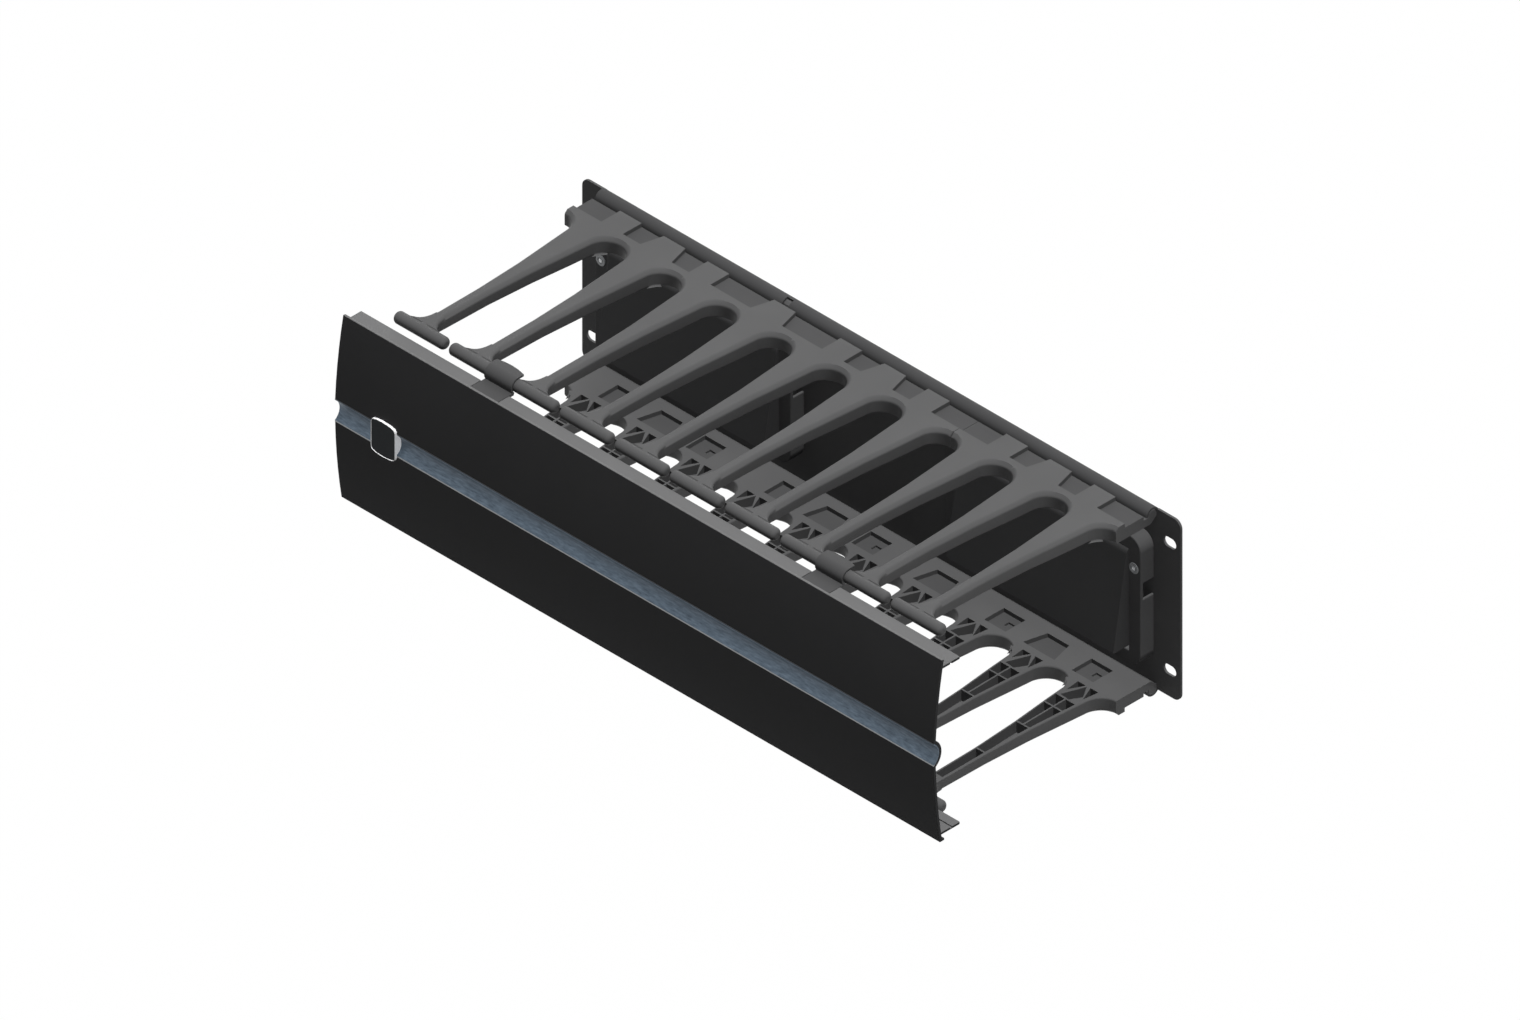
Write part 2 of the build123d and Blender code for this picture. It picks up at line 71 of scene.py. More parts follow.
# Slit in a pocket's floor: its corner from the pocket's middle, rear edge and floor, and
# the sizes of its two legs
SLIT_CORNER = (0.4, 5.0, 1.0)
SLIT_LEGS = ((4.8, 1.3, 2.8), (1.3, 4.2, 2.8))

# T-bars, and the webs between them and the fingertips
BAR_REACH = 171.9
BAR_RADIUS = 4.02
BAR_LENGTH = 40.6
BAR_Z = 61.6
BAR_ZONE = 4.5
BAR_END_INSET = 4.0
BAR_END_ROUND = 2.8
TIP_HALF = 4.1
WEB_OVERLAP = 0.05
WEB_START = 157.0
WEB_END = 169.5
WEB_HALF = 14.1
WEB_BEND = (TIP_HALF + 0.4, WEB_END - 0.6)
WEB_THICKNESS = 7.98
WEB_ROUND = 2.0
WEB_ROWS = 14
JAW_START = 9.6

# Reach and half the width of a finger at its stations, from the slot to the T-bar
STATIONS = (
    (ROOT_REACH, PITCH / 2 - SLOT_RADIUS),
    (88.0, 6.2),
    (122.0, 4.6),
    (BAR_REACH, TIP_HALF),
)

# How near an edge lies to a finger's side or a slot's end to count as part of it, and the
# lengths between which the straight runs round a slot's end lie
NEAR_SIDE = 0.35
NEAR_SLOT = 0.45
NEAR_ARC = 0.08
SHORTEST_RUN = 4.0
LONGEST_RUN = 7.5

# Cover and panel
FLANGE_LOW = 55.8
FLANGE_HIGH = 58.8
FLANGE_REAR = 179.4
FLANGE_FRONT = 195.0
COVER_EDGE = 62.4
SHEET = 1.6
RAIL_LOW = 59.0

# Badge place: a plate with a sunken face, on a foot in the cover's groove
BADGE_X = -201.0
BADGE_FRONT = -202.6
BADGE_MIDDLE = -201.8
BADGE_REAR = -200.8
BADGE_SUNK = 0.8
BADGE_CORNER = 1.9
RIM_OUTWARD = 1.35
RIM_WIDTH = 0.36
RIM_ROUND = 0.12
FACE_OUTWARD = 1.3
FACE_SUNK = 0.3
FACE_ROUND = 0.1
FOOT_FRONT = -200.9
FOOT_WIDTH = 19.2
FOOT_DEPTH = 3.9
FOOT_HEIGHT = 13.1
FOOT_ROUND = 0.3

# Rivets: each step of the head is a distance to the front and a scale
RIVET_SHANK = 2.8
RIVET_HEAD = 3.6
RIVET_STUB = 1.2
RIVET_LENGTH = 12.6
RIVET_STEPS = (
    (0, RIVET_HEAD / RIVET_SHANK), (0.45, 1.0), (0.2, 0.96), (0.12, 0.87),
    (0, 0.72), (-0.5, 0.94), (0, 0.66), (0.45, 0.96), (0.15, 0.75),
)

# Faces that meet at less than this many degrees are shaded as one surface
SMOOTH_ANGLE = 34

# Middle of the picture in millimetres, and its width and the camera's distance in metres
VIEW_MIDDLE = (-32.6, -66.8, -32.6)
VIEW_WIDTH = 0.8664
CAMERA_DISTANCE = 2.2

# Height of the floor in metres: the cover swings down to 190 mm below the origin
FLOOR_Z = -0.2


# Camera: parallel view from the front right, along the diagonal of the three axes
def place_camera():
    target = Vector(VIEW_MIDDLE) * MM
    direction = Vector((1, -1, 1)).normalized()
    bpy.ops.object.camera_add(location=target + direction * CAMERA_DISTANCE)
    camera = bpy.context.object
    camera.name = "photo_camera"
    camera.rotation_euler = (-direction).to_track_quat("-Z", "Y").to_euler()
    camera.data.type = "ORTHO"
    camera.data.ortho_scale = VIEW_WIDTH
    camera.data.clip_start = 0.05
    camera.data.clip_end = 12
    bpy.context.scene.camera = camera


place_camera()


# Shader helpers
def new_material(name):
    material = bpy.data.materials.new(name)
    material.use_nodes = True
    nodes = material.node_tree.nodes
    return material, nodes, material.node_tree.links, nodes["Principled BSDF"]


def surface_detail_group():
    """Soft tone changes, fine texture and its height, for moulded and painted surfaces."""
    group = bpy.data.node_groups.new("surface_detail", "ShaderNodeTree")
    sockets = group.interface
    sockets.new_socket("Color", in_out="INPUT", socket_type="NodeSocketColor")
    for name, value in (("Tone Spread", 0.1), ("Texture Scale", 1500.0), ("Roughness", 0.5),
                        ("Roughness Spread", 0.08)):
        socket = sockets.new_socket(name, in_out="INPUT", socket_type="NodeSocketFloat")
        socket.default_value = value
    sockets.new_socket("Color", in_out="OUTPUT", socket_type="NodeSocketColor")
    sockets.new_socket("Roughness", in_out="OUTPUT", socket_type="NodeSocketFloat")
    sockets.new_socket("Height", in_out="OUTPUT", socket_type="NodeSocketFloat")
    nodes, links = group.nodes, group.links
    given = nodes.new("NodeGroupInput")
    result = nodes.new("NodeGroupOutput")
    place = nodes.new("ShaderNodeTexCoord")
    # broad, faint clouds from moulding or spraying
    clouds = nodes.new("ShaderNodeTexNoise")
    clouds.inputs["Scale"].default_value = 22.0
    clouds.inputs["Detail"].default_value = 3.0
    links.new(place.outputs["Object"], clouds.inputs["Vector"])
    # fine grain of the tool or the powder
    grain = nodes.new("ShaderNodeTexNoise")
    grain.inputs["Detail"].default_value = 2.0
    links.new(place.outputs["Object"], grain.inputs["Vector"])
    links.new(given.outputs["Texture Scale"], grain.inputs["Scale"])
    mixed = nodes.new("ShaderNodeMath")
    mixed.operation = "MULTIPLY_ADD"
    mixed.inputs[1].default_value = 0.35
    links.new(grain.outputs["Fac"], mixed.inputs[0])
    links.new(clouds.outputs["Fac"], mixed.inputs[2])
    centred = nodes.new("ShaderNodeMath")
    centred.operation = "SUBTRACT"
    centred.inputs[1].default_value = 0.675
    links.new(mixed.outputs["Value"], centred.inputs[0])
    spread = nodes.new("ShaderNodeMath")
    spread.operation = "MULTIPLY_ADD"
    spread.inputs[2].default_value = 1.0
    links.new(centred.outputs["Value"], spread.inputs[0])
    links.new(given.outputs["Tone Spread"], spread.inputs[1])
    tone = nodes.new("ShaderNodeVectorMath")
    tone.operation = "SCALE"
    links.new(given.outputs["Color"], tone.inputs[0])
    links.new(spread.outputs["Value"], tone.inputs["Scale"])
    rough = nodes.new("ShaderNodeMath")
    rough.operation = "MULTIPLY_ADD"
    links.new(centred.outputs["Value"], rough.inputs[0])
    links.new(given.outputs["Roughness Spread"], rough.inputs[1])
    links.new(given.outputs["Roughness"], rough.inputs[2])
    links.new(tone.outputs["Vector"], result.inputs["Color"])
    links.new(rough.outputs["Value"], result.inputs["Roughness"])
    links.new(grain.outputs["Fac"], result.inputs["Height"])
    return group


surface_detail = surface_detail_group()


def textured(name, color, roughness, specular, grain_scale, grain_depth, tone=0.25):
    """Moulded plastic or powder coat with a fine texture."""
    material, nodes, links, shader = new_material(name)
    shader.inputs["Specular IOR Level"].default_value = specular
    detail = nodes.new("ShaderNodeGroup")
    detail.node_tree = surface_detail
    detail.inputs["Color"].default_value = (*color, 1)
    detail.inputs["Tone Spread"].default_value = tone
    detail.inputs["Texture Scale"].default_value = grain_scale
    detail.inputs["Roughness"].default_value = roughness
    bump = nodes.new("ShaderNodeBump")
    bump.inputs["Strength"].default_value = 0.5
    bump.inputs["Distance"].default_value = grain_depth * MM
    links.new(detail.outputs["Color"], shader.inputs["Base Color"])
    links.new(detail.outputs["Roughness"], shader.inputs["Roughness"])
    links.new(detail.outputs["Height"], bump.inputs["Height"])
    links.new(bump.outputs["Normal"], shader.inputs["Normal"])
    return material


def brushed_metal(name, dark, light, roughness, along, across, metallic=0.55):
    """Metal with fine lines along X and soft blotches."""
    material, nodes, links, shader = new_material(name)
    shader.inputs["Metallic"].default_value = metallic
    place = nodes.new("ShaderNodeTexCoord")
    stretch = nodes.new("ShaderNodeMapping")
    stretch.inputs["Scale"].default_value = (along, across, across)
    links.new(place.outputs["Object"], stretch.inputs["Vector"])
    lines = nodes.new("ShaderNodeTexNoise")
    lines.inputs["Scale"].default_value = 1.0
    lines.inputs["Detail"].default_value = 5.0
    lines.inputs["Roughness"].default_value = 0.65
    links.new(stretch.outputs["Vector"], lines.inputs["Vector"])
    ramp = nodes.new("ShaderNodeValToRGB")
    ramp.color_ramp.elements[0].position = 0.34
    ramp.color_ramp.elements[0].color = (*dark, 1)
    ramp.color_ramp.elements[1].position = 0.66
    ramp.color_ramp.elements[1].color = (*light, 1)
    links.new(lines.outputs["Fac"], ramp.inputs["Fac"])
    links.new(ramp.outputs["Color"], shader.inputs["Base Color"])
    rough = nodes.new("ShaderNodeMapRange")
    rough.inputs["To Min"].default_value = roughness - 0.08
    rough.inputs["To Max"].default_value = roughness + 0.08
    links.new(lines.outputs["Fac"], rough.inputs["Value"])
    links.new(rough.outputs["Result"], shader.inputs["Roughness"])
    bump = nodes.new("ShaderNodeBump")
    bump.inputs["Strength"].default_value = 0.4
    bump.inputs["Distance"].default_value = 0.02 * MM
    links.new(lines.outputs["Fac"], bump.inputs["Height"])
    links.new(bump.outputs["Normal"], shader.inputs["Normal"])
    return material


# Finishes
guide_plastic = textured("guide_plastic", (0.084, 0.084, 0.085), 0.45, 0.10, 1600, 0.02)
frame_plastic = textured("frame_plastic", (0.070, 0.070, 0.071), 0.6, 0.05, 1600, 0.03)
door_plastic = textured("door_plastic", (0.047, 0.047, 0.048), 0.6, 0.05, 1600, 0.03)
cover_plastic = textured("cover_plastic", (0.034, 0.034, 0.035), 0.55, 0.03, 2200, 0.02)
# painted shade: a darker copy of the guides' plastic for their sunken floors
recess_shade_plastic = textured("recess_shade_plastic", (0.062, 0.062, 0.063), 0.7, 0.15, 2200, 0.02)
# painted light: a lighter copy of the cover's plastic for its level, lit faces
flange_painted_light = textured("flange_painted_light", (0.125, 0.125, 0.126), 0.55, 0.2, 2200, 0.02)
clip_plastic = textured("clip_plastic", (0.055, 0.055, 0.056), 0.5, 0.25, 1600, 0.03)
panel_paint = textured("panel_paint", (0.084, 0.084, 0.085), 0.6, 0.05, 2600, 0.05)
# painted shade: a darker copy of the panel's paint for its rolled rails
rail_painted_shade = textured("rail_painted_shade", (0.058, 0.058, 0.059), 0.6, 0.05, 2600, 0.05)
badge_gloss = textured("badge_gloss", (0.040, 0.043, 0.046), 0.5, 0.03, 3000, 0.004, tone=0.1)
strip_metal = brushed_metal("strip_metal", (0.046, 0.065, 0.088), (0.110, 0.147, 0.188), 0.42, 160, 800)
bright_metal = brushed_metal("bright_metal", (0.42, 0.43, 0.44), (0.62, 0.63, 0.64), 0.28, 1200, 1200)
# painted shade: a darker copy of the rivet metal for the head round the stub
shaded_ring_metal = brushed_metal("shaded_ring_metal", (0.13, 0.135, 0.14), (0.20, 0.205, 0.21), 0.4, 1200, 1200)
pin_metal = brushed_metal("pin_metal", (0.44, 0.45, 0.46), (0.54, 0.55, 0.56), 0.32, 60, 2400)
rim_metal = brushed_metal(
    "rim_metal", (0.84, 0.84, 0.85), (0.92, 0.92, 0.93), 0.4, 60, 900, metallic=0.05
)
# painted shade: a darker copy of the rim's metal for its faces that look to the front
rim_front_shade_metal = brushed_metal(
    "rim_front_shade_metal", (0.22, 0.22, 0.23), (0.30, 0.30, 0.31), 0.4, 60, 900, metallic=0.05
)


def painted_light_line(material, inner, outer, color):
    """Line of another colour along an edge, for painted highlights and shades: none at the inner
    height, full from the outer one.
    """
    nodes, links = material.node_tree.nodes, material.node_tree.links
    shader = nodes["Principled BSDF"]
    base = shader.inputs["Base Color"].links[0].from_socket
    place = nodes.new("ShaderNodeTexCoord")
    parts = nodes.new("ShaderNodeSeparateXYZ")
    links.new(place.outputs["Object"], parts.inputs["Vector"])
    line = nodes.new("ShaderNodeMapRange")
    line.inputs["From Min"].default_value = inner * MM
    line.inputs["From Max"].default_value = outer * MM
    links.new(parts.outputs["Z"], line.inputs["Value"])
    # inputs 6 and 7 are the two colours of the mix, and output 2 is the mixed one
    mixed = nodes.new("ShaderNodeMix")
    mixed.data_type = "RGBA"
    mixed.inputs[7].default_value = (*color, 1)
    links.new(line.outputs["Result"], mixed.inputs["Factor"])
    links.new(base, mixed.inputs[6])
    links.new(mixed.outputs[2], shader.inputs["Base Color"])


# painted highlight: a light line along the strip's lower edge, where the cover's groove edge catches
# the light
painted_light_line(strip_metal, -7.0, -7.2, (0.30, 0.31, 0.32))
# painted shade: a dark line along the strip's upper edge, over its lit end face
painted_light_line(strip_metal, 7.3, 7.5, (0.028, 0.032, 0.037))


# Mesh helpers
def select_only(piece):
    bpy.ops.object.select_all(action="DESELECT")
    piece.select_set(True)
    bpy.context.view_layer.objects.active = piece


def start_edit(piece, kind):
    """Opens a piece in edit mode with nothing selected, and gives its mesh."""
    select_only(piece)
    bpy.ops.object.mode_set(mode="EDIT")
    bpy.ops.mesh.select_mode(type=kind)
    bpy.ops.mesh.select_all(action="DESELECT")
    return bmesh.from_edit_mesh(piece.data)


def end_edit():
    bpy.ops.mesh.select_all(action="DESELECT")
    bpy.ops.object.mode_set(mode="OBJECT")


def start_edit_at_front(piece):
    """Opens a piece in edit mode with the faces that look to the front selected."""
    mesh = start_edit(piece, "FACE")
    for face in mesh.faces:
        face.select_set(face.normal.y < -0.9)
    bmesh.update_edit_mesh(piece.data)


def copy_of_node(node, name):
    """Own mesh copied from a CAD node, merged and with its flat faces joined."""
    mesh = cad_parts[node].data.copy()
    mesh.name = name
    piece = bpy.data.objects.new(name, mesh)
    bpy.context.scene.collection.objects.link(piece)
    select_only(piece)
    if mesh.has_custom_normals:
        bpy.ops.mesh.customdata_custom_splitnormals_clear()
    bpy.ops.object.mode_set(mode="EDIT")
    bpy.ops.mesh.select_all(action="SELECT")
    bpy.ops.mesh.remove_doubles(threshold=MERGE_DISTANCE)
    bpy.ops.mesh.dissolve_limited(angle_limit=math.radians(FLAT_ANGLE))
    end_edit()
    return piece


def bevel_edges(piece, wanted, width, segments):
    """Rounds each edge for which wanted(edge, first face, second face) is true."""
    mesh = start_edit(piece, "EDGE")
    for edge in mesh.edges:
        if len(edge.link_faces) == 2 and wanted(edge, *edge.link_faces):
            edge.select_set(True)
    bmesh.update_edit_mesh(piece.data)
    bpy.ops.mesh.bevel(offset=width * MM, segments=segments, profile=0.5, clamp_overlap=False)
    end_edit()


def sharp(limit):
    """Test for edges that turn outward by more than a number of degrees."""
    angle = math.radians(limit)

    def test(edge, first, second):
        return edge.is_convex and edge.calc_face_angle(0) > angle

    return test


def finish_piece(piece, material, slot, body, *nodes):
    """Gives a piece its material and shading, puts it on its body and hides the CAD nodes it stands
    for; the slot is not used.
    """
    select_only(piece)
    piece.data.materials.clear()
    piece.data.materials.append(material)
    bpy.ops.object.shade_smooth_by_angle(angle=math.radians(SMOOTH_ANGLE))
    even = piece.modifiers.new("even_faces", "WEIGHTED_NORMAL")
    even.keep_sharp = True
    bpy.ops.object.modifier_apply(modifier=even.name)
    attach(piece, body)
    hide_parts(*nodes)


def add_finish(piece, material, wanted):
    """Gives a second material to the faces for which wanted(face, middle in mm) is true."""
    piece.data.materials.append(material)
    for face in piece.data.polygons:
        if wanted(face, face.center / MM):
            face.material_index = 1


# Finger guides
def finger_middle(x):
    """Middle of the finger nearest to x."""
    first = -(FINGERS - 1) * PITCH / 2
    return first + PITCH * min(max(round((x - first) / PITCH), 0), FINGERS - 1)


def half_width(reach):
    """Half the width of a finger at a reach, by the same stations as the moulding."""
    for (near, near_half), (far, far_half) in zip(STATIONS, STATIONS[1:]):
        if reach <= far:
            return near_half + (reach - near) / (far - near) * (far_half - near_half)
    return TIP_HALF


def slot_distance(point):
    """Distance of a point in metres from the axis of the nearest slot's round end, in mm."""
    x = point.x / MM
    return math.hypot(x - PITCH * round(x / PITCH), point.y / MM + ROOT_REACH)


def on_finger_side(edge):
    """Whether an edge runs along the outside of a finger or round a slot's end."""
    middle = (edge.verts[0].co + edge.verts[1].co) / 2
    x, reach = middle.x / MM, -middle.y / MM
    if reach > ROOT_REACH:
        return abs(abs(x - finger_middle(x)) - half_width(reach)) < NEAR_SIDE
    return reach > SLOT_ROOT - 1 and abs(slot_distance(middle) - SLOT_RADIUS) < NEAR_SLOT


def subdivide_edges(piece, wanted, cuts):
    """Cuts each edge for which wanted(edge) is true, and gives the open mesh and its new points."""
    mesh = start_edit(piece, "EDGE")
    before = len(mesh.verts)
    for edge in mesh.edges:
        edge.select_set(wanted(edge))
    bmesh.update_edit_mesh(piece.data)
    bpy.ops.mesh.subdivide(number_cuts=cuts, quadcorner="STRAIGHT_CUT", ngon=True)
    mesh = bmesh.from_edit_mesh(piece.data)
    mesh.verts.ensure_lookup_table()
    return mesh, mesh.verts[before:]


def round_slot_ends(piece):
    """Turns the short straight runs round each slot's end into a true arc."""
    flat = math.cos(math.pi / SLOT_SIDES)
    rings = (SLOT_RADIUS, (SLOT_RADIUS * flat + EDGE_CHAMFER) / flat)

    def ring_of(point):
        if -point.y / MM > ROOT_REACH + 0.01:
            return None
        for ring in rings:
            if ring * flat - NEAR_ARC < slot_distance(point) < ring + NEAR_ARC:
                return ring
        return None

    def on_arc(edge):
        first, second = (ring_of(vert.co) for vert in edge.verts)
        run = (edge.verts[1].co - edge.verts[0].co) / MM
        level = abs(run.z) < 0.05 and SHORTEST_RUN < run.length < LONGEST_RUN
        return first is not None and first == second and level

    mesh, points = subdivide_edges(piece, on_arc, 3)
    for vert in points:
        ring = ring_of(vert.co)
        if ring is None:
            continue
        slot_x = PITCH * round(vert.co.x / MM / PITCH) * MM
        middle = Vector((slot_x, -ROOT_REACH * MM, vert.co.z))
        vert.co = middle + (vert.co - middle).normalized() * ring * MM
    bmesh.update_edit_mesh(piece.data)
    end_edit()


def shorten_bars(piece):
    """Draws the flat ends of the bars in, so that the round bars cover them."""
    for vert in piece.data.vertices:
        x = vert.co.x / MM
        middle = finger_middle(x)
        at_bar = -vert.co.y / MM > BAR_REACH - BAR_ZONE
        if at_bar and abs(abs(x - middle) - BAR_LENGTH / 2) < 0.05:
            vert.co.x = (x - math.copysign(BAR_END_INSET, x - middle)) * MM


def tilts(first, second):
    """How far two faces look up or down, from 0 for upright to 1 for level, the smaller first."""
    return sorted(abs(face.normal.z) for face in (first, second))


def round_finger_edges(piece):
    """Rounds the fingers' chamfers and their edges on the inner side."""

    def is_chamfer(tilt):
        return 0.69 < tilt < 0.72

    def along_chamfer(edge, first, second):
        low, high = tilts(first, second)
        meets = is_chamfer(low) and high > 0.72 or low < 0.1 and is_chamfer(high)
        return meets and edge.is_convex and -edge.verts[0].co.y / MM > SLOT_ROOT - 1

    def along_inner_edge(edge, first, second):
        low, high = tilts(first, second)
        inner = abs(edge.verts[0].co.z) / MM < GUIDE_INNER + 3
        return inner and low < 0.1 and high > 0.95 and on_finger_side(edge)

    bevel_edges(piece, along_chamfer, CHAMFER_ROUND, 2)
    bevel_edges(piece, along_inner_edge, INNER_ROUND, 3)


def cut_catch_slits(piece, centres):
    """Angled slit in the floor of each square pocket."""
    across, forward, below = SLIT_CORNER
    middle = (centres[0] + centres[-1]) / 2
    wide = [x for x in centres if round((x - middle) / PITCH) % 2 == 0]
    bpy.ops.object.select_all(action="DESELECT")
    cutters = []
    for x in wide:
        if len(wide) > 1 and abs(x - middle) < 1:
            continue
        for square in (x - TAB_STEP, x + TAB_STEP):
            corner = Vector((square + across, -POCKET_REAR - forward, -POCKET_Z - below))
            for size in SLIT_LEGS:
                bpy.ops.mesh.primitive_cube_add(size=1)
                leg = bpy.context.object
                shift = corner + Vector((size[0] / 2, -size[1] / 2, 0))
                leg.data.transform(Matrix.Diagonal((*size, 1)))
                leg.data.transform(Matrix.Translation(shift))
                leg.data.transform(Matrix.Scale(MM, 4))
                cutters.append(leg)
    for leg in cutters:
        select_only(piece)
        cut = piece.modifiers.new("catch_slit", "BOOLEAN")
        cut.operation = "DIFFERENCE"
        cut.solver = "EXACT"
        cut.object = leg
        bpy.ops.object.modifier_apply(modifier=cut.name)
        bpy.data.objects.remove(leg)


def make_round_bar():
    """One fingertip bar along X with rounded ends, centred on the origin."""
    bpy.ops.object.select_all(action="DESELECT")
    bpy.ops.mesh.primitive_cylinder_add(
        vertices=28, radius=BAR_RADIUS * MM, depth=BAR_LENGTH * MM, rotation=(0, math.pi / 2, 0)
    )
    bar = bpy.context.object
    bpy.ops.object.transform_apply(location=False, rotation=True, scale=False)
    bevel_edges(bar, sharp(60), BAR_END_ROUND, 6)
    return bar


def make_web():
    """Web with hollow fillets that runs from the stem into the bar, level with the bar's axis."""
    bpy.ops.object.select_all(action="DESELECT")
    bpy.ops.mesh.primitive_grid_add(x_subdivisions=1, y_subdivisions=WEB_ROWS, size=1)
    web = bpy.context.object
    start = Vector((TIP_HALF - WEB_OVERLAP, WEB_START))
    bend = Vector(WEB_BEND)
    end = Vector((WEB_HALF, WEB_END))
    for vert in web.data.vertices:
        row = round((0.5 - vert.co.y) * WEB_ROWS)
        share = min(row / (WEB_ROWS - 1), 1)
        at = start * (1 - share) ** 2 + bend * 2 * share * (1 - share) + end * share**2
        reach = at.y if row < WEB_ROWS else BAR_REACH
        vert.co = Vector((math.copysign(at.x, vert.co.x), -reach, -WEB_THICKNESS / 2)) * MM
    select_only(web)
    bpy.ops.object.mode_set(mode="EDIT")
    bpy.ops.mesh.select_all(action="SELECT")
    bpy.ops.mesh.extrude_region_move(TRANSFORM_OT_translate={"value": (0, 0, WEB_THICKNESS * MM)})
    bpy.ops.mesh.select_all(action="SELECT")
    bpy.ops.mesh.normals_make_consistent(inside=False)
    bpy.ops.object.mode_set(mode="OBJECT")

    def along_side(edge, first, second):
        near, far = sorted(-vert.co.y / MM for vert in edge.verts)
        low, high = tilts(first, second)
        between = far > WEB_START + 0.01 and near < BAR_REACH - 0.01
        return between and low < 0.1 and high > 0.9

    bevel_edges(web, along_side, WEB_ROUND, 4)
    # near the ends the clips' jaws need room, so the web stays inside the bar there
    for vert in web.data.vertices:
        across = Vector((vert.co.y / MM + BAR_REACH, vert.co.z / MM))
        if abs(vert.co.x) / MM > JAW_START and across.length > BAR_RADIUS:
            across = across.normalized() * BAR_RADIUS
            vert.co.y = (across.x - BAR_REACH) * MM
            vert.co.z = across.y * MM
    return web


round_bar = make_round_bar()
web = make_web()


def add_tips(piece, centres):
    """Puts a web and a round bar on each fingertip and joins them to the moulding."""
    tips = []
    for x in centres:
        for source, reach in ((round_bar, BAR_REACH), (web, 0)):
            tip = bpy.data.objects.new("tip", source.data.copy())
            tip.data.transform(Matrix.Translation(Vector((x, -reach, -BAR_Z)) * MM))
            bpy.context.scene.collection.objects.link(tip)
            tips.append(tip)
    select_only(piece)
    for tip in tips:
        tip.select_set(True)
    bpy.ops.object.join()


def shade_recess(piece):
    """Gives the sunken floor behind the fingers and the pockets' floors painted shade: a darker colour,
    with a rougher, finer grain.
    """

    def is_sunken(face, middle):
        in_floor = abs(abs(middle.z) - RECESS_Z) < 0.05 and -middle.y < RECESS_FRONT
        in_pocket = abs(abs(middle.z) - POCKET_Z) < 0.05 and POCKET_REAR < -middle.y < SLOT_ROOT
        return abs(face.normal.z) > 0.99 and (in_floor or in_pocket)

    add_finish(piece, recess_shade_plastic, is_sunken)


def make_moulding(node, centres):
    """One lower guide, ribbed side up, at the place of its CAD node."""
    moulding = copy_of_node(node, node + "_moulding")
    cut_catch_slits(moulding, centres)
    shorten_bars(moulding)
    round_slot_ends(moulding)
    round_finger_edges(moulding)
    add_tips(moulding, centres)
    return moulding


def place_guide(moulding, name, shift, turned, nodes):
    """Copy of a moulding, moved along X, and turned over about Y for the upper row."""
    guide = bpy.data.objects.new(name, moulding.data.copy())
    bpy.context.scene.collection.objects.link(guide)
    if turned:
        guide.data.transform(Matrix.Rotation(math.pi, 4, "Y"))
    guide.data.transform(Matrix.Translation(Vector((shift * MM, 0, 0))))
    finish_piece(guide, guide_plastic, "guide_plastic", "frame", *nodes)
    shade_recess(guide)


# The four guides are two mouldings, used twice: the same pieces lie turned over in the
# upper row, so the seven-finger guide is at the left above and at the right below
finger_places = [-(FINGERS - 1) * PITCH / 2 + i * PITCH for i in range(FINGERS)]
long_moulding = make_moulding("bottom_guide_long", finger_places[:LONG_FINGERS])
short_moulding = make_moulding("bottom_guide_short", finger_places[LONG_FINGERS:])
long_shift = (FINGERS - LONG_FINGERS) * PITCH + END_GAP
short_shift = LONG_FINGERS * PITCH + END_GAP
place_guide(long_moulding, "upper_guide_left", -long_shift, True, ["top_guide_long"])
place_guide(short_moulding, "upper_guide_right", short_shift, True, ["top_guide_short"])
place_guide(
    long_moulding, "lower_guide_right", long_shift, False,
    ["bottom_guide_long", "bottom_guide_short"],
)
place_guide(short_moulding, "lower_guide_left", -short_shift, False, ["bottom_guide_long"])
for template in (round_bar, web, long_moulding, short_moulding):
    bpy.data.objects.remove(template)


# Other mouldings and the panel: the solids' own forms with their edges rounded
def shade_flanges(piece):
    """Paints the level faces of the cover's inner flanges and the up-facing faces of its upper edge
    lighter: painted light from above.
    """

    def is_light(face, middle):
        at_height = FLANGE_LOW < abs(middle.z) < FLANGE_HIGH
        on_flange = at_height and FLANGE_REAR < -middle.y < FLANGE_FRONT
        on_edge = middle.z > COVER_EDGE and face.normal.z > 0.5
        return on_flange and abs(face.normal.z) > 0.2 or on_edge

    add_finish(piece, flange_painted_light, is_light)


def shade_rails(piece):
    """Paints the rolled rails of the panel darker than its flat part: painted shade."""

    def in_rail(face, middle):
        return abs(middle.z) > RAIL_LOW and -middle.y > SHEET + 0.2

    add_finish(piece, rail_painted_shade, in_rail)


# CAD node, body, material and slot, and the width and segments of the rounded edges
rounded_pieces = (
    ("pass_frame_left", "frame", frame_plastic, "frame_plastic", 0.8, 3),
    ("pass_frame_right", "frame", frame_plastic, "frame_plastic", 0.8, 3),
    ("pass_door_left", "door_body_left", door_plastic, "door_plastic", 0.35, 2),
    ("pass_door_right", "door_body_right", door_plastic, "door_plastic", 0.35, 2),
    ("cover", "cover_body", cover_plastic, "cover_plastic", 0.3, 2),
    ("top_clip_left", "cover_body", clip_plastic, "clip_plastic", 0.3, 2),
    ("top_clip_right", "cover_body", clip_plastic, "clip_plastic", 0.3, 2),
    ("bottom_clip_left", "cover_body", clip_plastic, "clip_plastic", 0.3, 2),
    ("bottom_clip_right", "cover_body", clip_plastic, "clip_plastic", 0.3, 2),
    ("rear_panel", "frame", panel_paint, "panel_paint", 0.2, 2),
)
for node, body, material, slot, width, segments in rounded_pieces:
    piece = copy_of_node(node, node + "_finished")
    bevel_edges(piece, sharp(50), width, segments)
    finish_piece(piece, material, slot, body, node)
    if node == "cover":
        shade_flanges(piece)
    if node == "rear_panel":
        shade_rails(piece)


